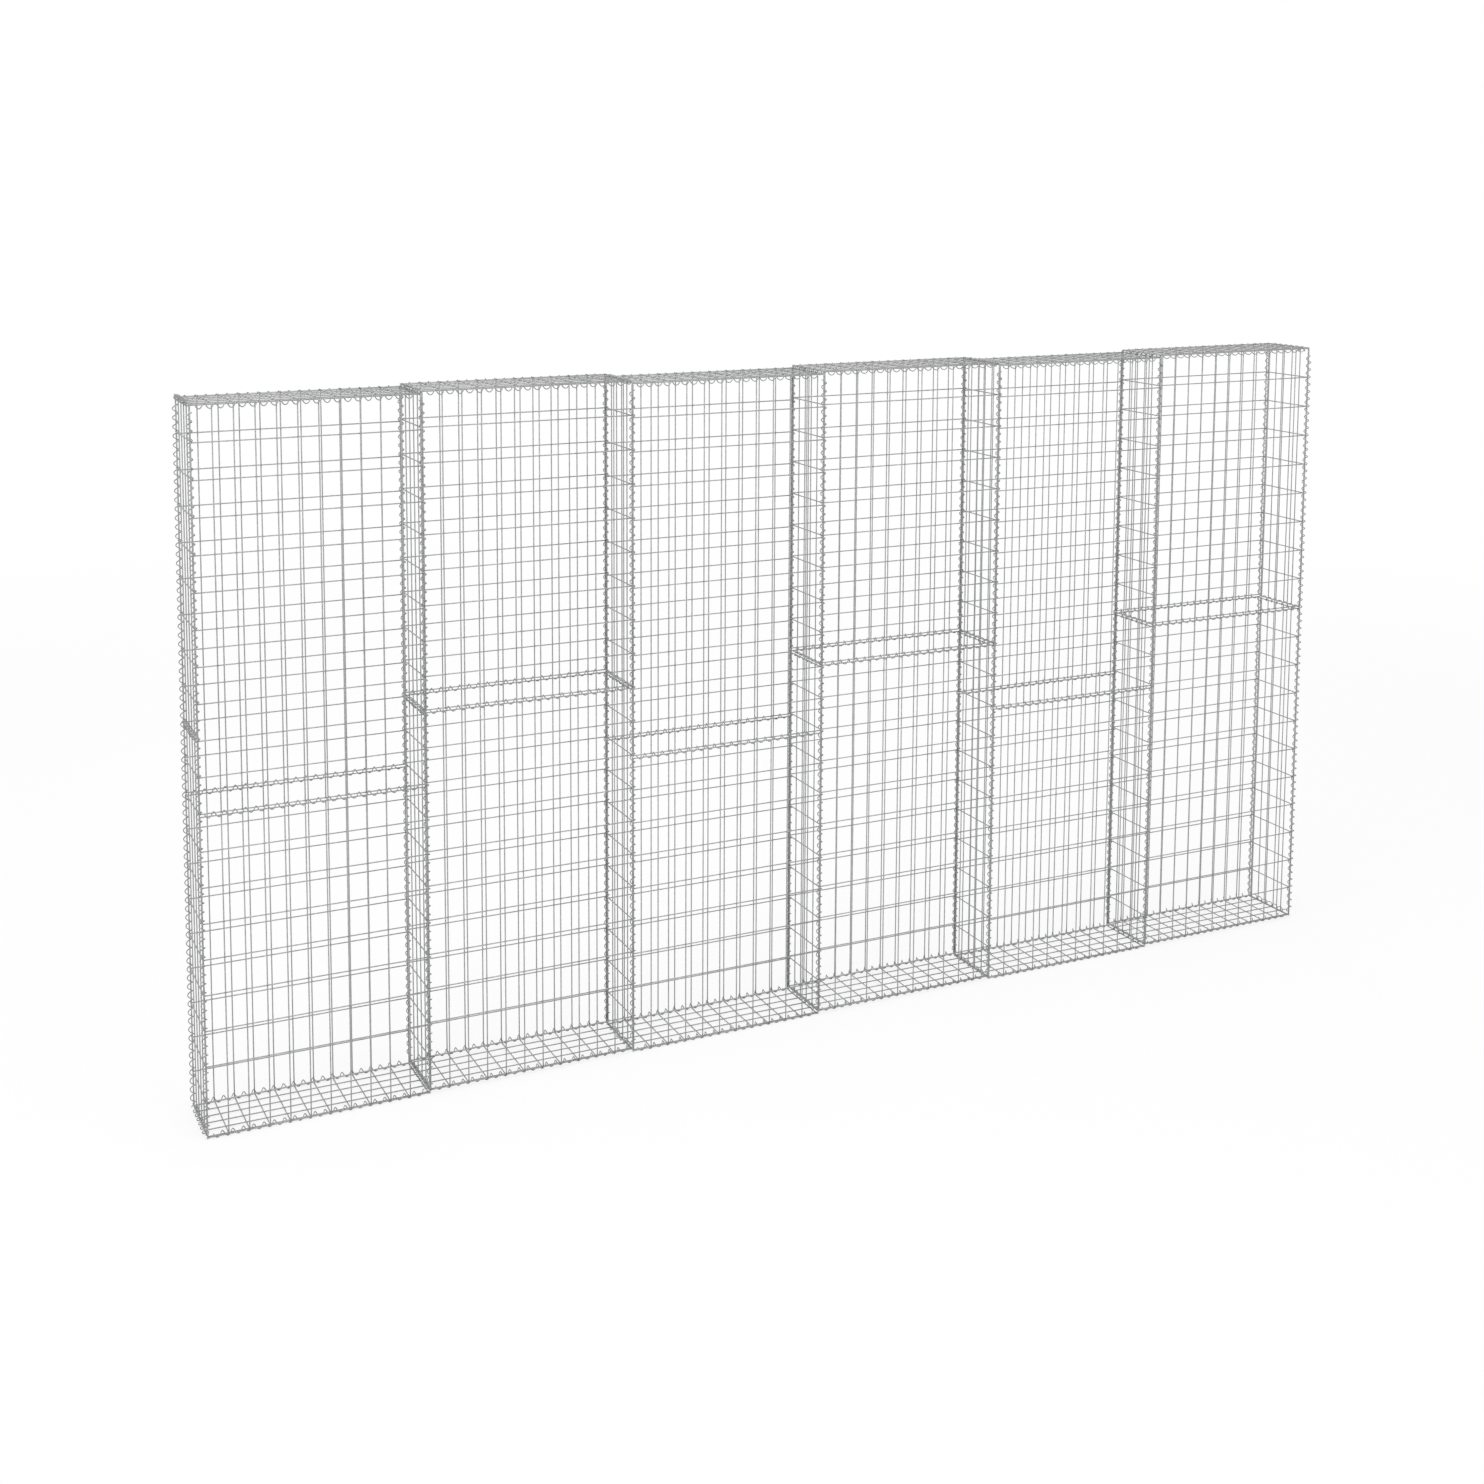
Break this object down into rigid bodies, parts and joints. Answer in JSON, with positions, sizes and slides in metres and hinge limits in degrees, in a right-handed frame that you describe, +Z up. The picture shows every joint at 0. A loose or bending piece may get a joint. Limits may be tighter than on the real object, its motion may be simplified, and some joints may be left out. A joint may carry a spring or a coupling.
{
  "type": "gabion wall",
  "caption": "Free-standing run of slim welded-mesh gabion baskets, empty, with mesh floors, partitions and covers laced together by wire spirals; bays alternate in seam height.",
  "frame": {"origin": "middle of the wall's length and depth, on the ground plane under the base spirals", "axes": "+X along the wall to the right as seen from the front, +Y from front to back, +Z up"},
  "size_m": [3.798, 0.2196, 2.0203],
  "materials": {
    "mesh_wire": "hot-dip galvanised, dull grey zinc",
    "spiral_wire": "galvanised spring wire, dull grey zinc"
  },
  "bodies": {
    "root": {"front_panel_bay_1": "mesh_wire", "back_panel_bay_1": "mesh_wire", "floor_panel_bay_1": "mesh_wire", "cover_panel_bay_1": "mesh_wire", "front_panel_bay_2": "mesh_wire", "back_panel_bay_2": "mesh_wire", "floor_panel_bay_2": "mesh_wire", "cover_panel_bay_2": "mesh_wire", "front_panel_bay_3": "mesh_wire", "back_panel_bay_3": "mesh_wire", "floor_panel_bay_3": "mesh_wire", "cover_panel_bay_3": "mesh_wire", "front_panel_bay_4": "mesh_wire", "back_panel_bay_4": "mesh_wire", "floor_panel_bay_4": "mesh_wire", "cover_panel_bay_4": "mesh_wire", "front_panel_bay_5": "mesh_wire", "back_panel_bay_5": "mesh_wire", "floor_panel_bay_5": "mesh_wire", "cover_panel_bay_5": "mesh_wire", "front_panel_bay_6": "mesh_wire", "back_panel_bay_6": "mesh_wire", "floor_panel_bay_6": "mesh_wire", "cover_panel_bay_6": "mesh_wire", "partition_panel_1": "mesh_wire", "partition_panel_2": "mesh_wire", "partition_panel_3": "mesh_wire", "partition_panel_4": "mesh_wire", "partition_panel_5": "mesh_wire", "partition_panel_6": "mesh_wire", "partition_panel_7": "mesh_wire", "front_corner_spirals": "spiral_wire", "back_corner_spirals": "spiral_wire", "front_seam_spirals": "spiral_wire", "back_seam_spirals": "spiral_wire", "partition_seam_spirals": "spiral_wire", "front_base_spirals": "spiral_wire", "back_base_spirals": "spiral_wire", "partition_base_spirals": "spiral_wire", "front_top_spirals": "spiral_wire", "back_top_spirals": "spiral_wire", "partition_top_spirals": "spiral_wire"}
  },
  "joints": []
}
